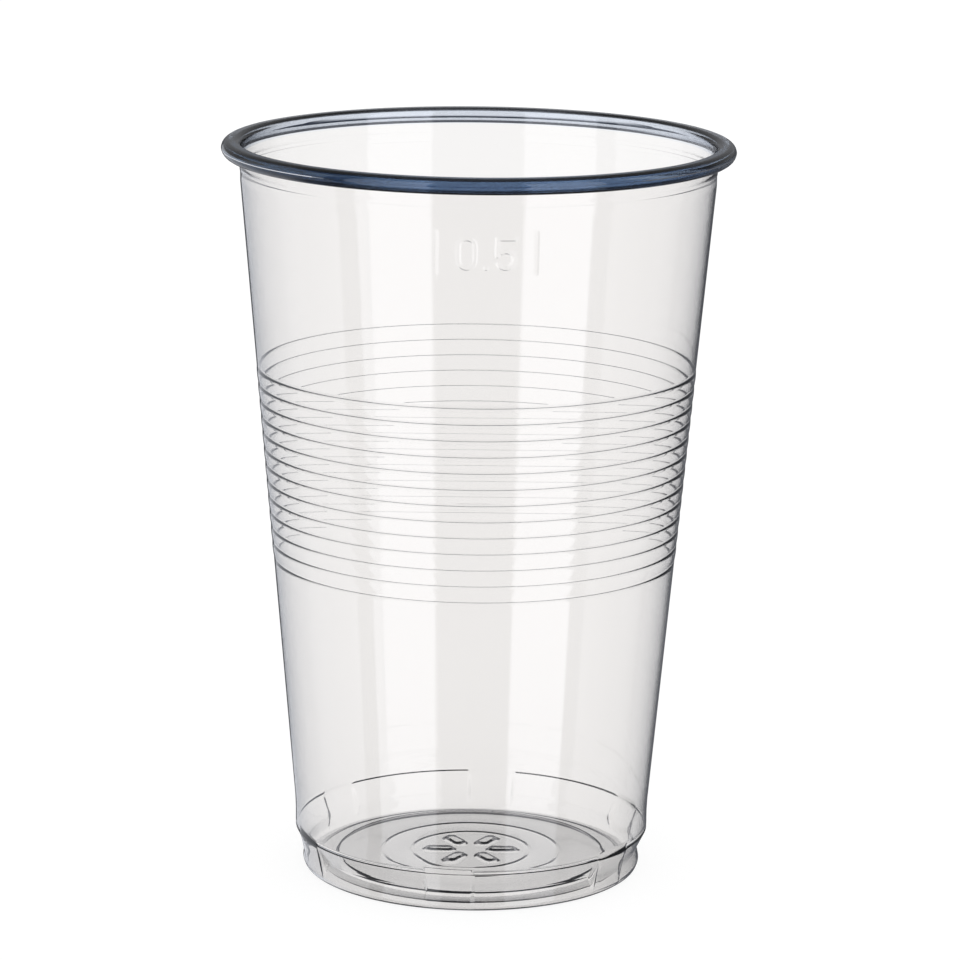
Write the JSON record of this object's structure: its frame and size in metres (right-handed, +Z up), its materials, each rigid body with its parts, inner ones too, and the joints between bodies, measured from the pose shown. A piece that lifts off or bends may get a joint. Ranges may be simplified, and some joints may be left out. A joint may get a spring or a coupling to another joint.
{
  "type": "plastic disposable cup",
  "caption": "Clear disposable drinking cup: a tapered thin wall with a rolled rim, a grooved grip band and a recessed foot.",
  "frame": {"origin": "middle of the ring that the cup stands on, at its underside", "axes": "+Z up along the cup's axis towards the mouth, -Y towards the fill mark"},
  "size_m": [0.095, 0.095, 0.1384],
  "materials": {
    "clear_plastic": "clear, glossy, thin"
  },
  "bodies": {
    "root": {"cup": "clear_plastic"}
  },
  "joints": []
}
